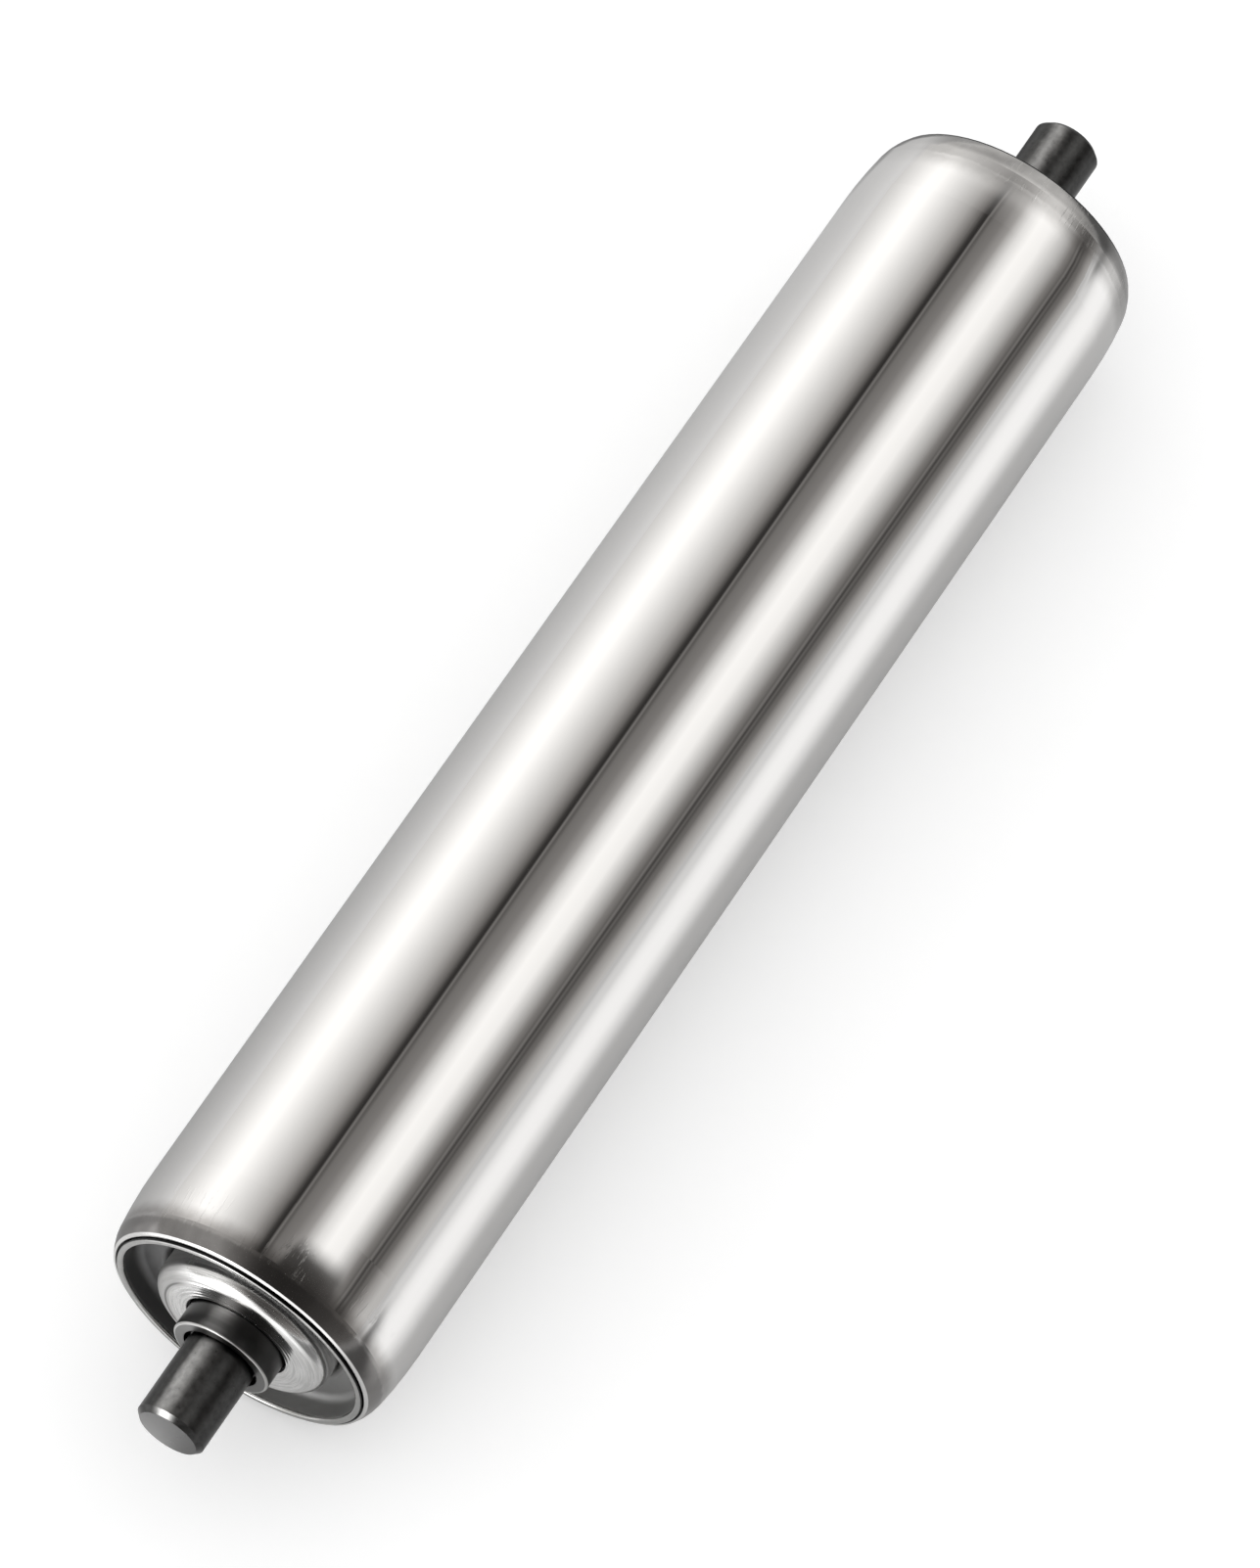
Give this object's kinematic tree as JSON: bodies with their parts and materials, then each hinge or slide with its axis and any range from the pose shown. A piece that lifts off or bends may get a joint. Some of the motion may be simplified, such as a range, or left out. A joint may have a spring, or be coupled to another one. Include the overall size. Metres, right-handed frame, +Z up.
{
  "type": "conveyor roller",
  "caption": "Gravity conveyor roller: crowned steel tube on sealed ball bearings, turning on a round axle that pushes in against an inner spring.",
  "frame": {"origin": "middle of the axle, on the roller's axis", "axes": "+X along the axle towards the fixed-seat far end, +Z up, +Y across; the end that pushes in is at -X"},
  "size_m": [0.276, 0.05, 0.05],
  "materials": {
    "tube_steel": "bright polished, faint lengthwise grain",
    "housing_steel": "bright pressed sheet",
    "cap_steel": "bright pressed sheet",
    "race_steel": "ground",
    "black_steel": "black oxide, satin",
    "axle_steel": "dark drawn bar",
    "ball_steel": "polished",
    "cage_plastic": "moulded",
    "seal_rubber": "matt",
    "spring_steel": "drawn wire",
    "plated_steel": "plated sheet",
    "dark_spring_steel": "phosphated"
  },
  "bodies": {
    "axle": {"axle": "axle_steel", "retaining_ring_near": "dark_spring_steel", "retaining_ring_far": "dark_spring_steel", "spring_washer": "plated_steel", "axle_spring": "spring_steel"},
    "inner_races": {"inner_race_near": "black_steel", "inner_race_far": "black_steel"},
    "shell": {"tube": "tube_steel", "bearing_housing_near": "housing_steel", "dust_cap_near": "cap_steel", "outer_race_near": "race_steel", "seal_ring_near": "seal_rubber", "grease_shield_near": "plated_steel", "bearing_housing_far": "housing_steel", "dust_cap_far": "cap_steel", "outer_race_far": "race_steel", "seal_ring_far": "seal_rubber", "grease_shield_far": "plated_steel"},
    "cage_near": {"ball_cage_near": "cage_plastic", "bearing_balls_near": "ball_steel"},
    "cage_far": {"ball_cage_far": "cage_plastic", "bearing_balls_far": "ball_steel"}
  },
  "joints": [
    {"name": "axle_push", "type": "slide", "parent": "axle", "child": "inner_races", "axis": [-1, 0, 0], "range_m": [0, 0.015], "stiffness_N_per_m": 1460, "springref_m": -0.015, "deforming": ["axle_spring"]},
    {"name": "roller_spin", "type": "hinge", "parent": "inner_races", "child": "shell", "pos_m": [0, 0, 0], "axis": [1, 0, 0], "continuous": true},
    {"name": "cage_near_spin", "type": "hinge", "parent": "inner_races", "child": "cage_near", "pos_m": [0, 0, 0], "axis": [1, 0, 0], "continuous": true},
    {"name": "cage_far_spin", "type": "hinge", "parent": "inner_races", "child": "cage_far", "pos_m": [0, 0, 0], "axis": [1, 0, 0], "continuous": true}
  ],
  "couplings": [
    {"joint": "cage_near_spin", "follows": "roller_spin", "ratio": 0.619},
    {"joint": "cage_far_spin", "follows": "roller_spin", "ratio": 0.619}
  ]
}
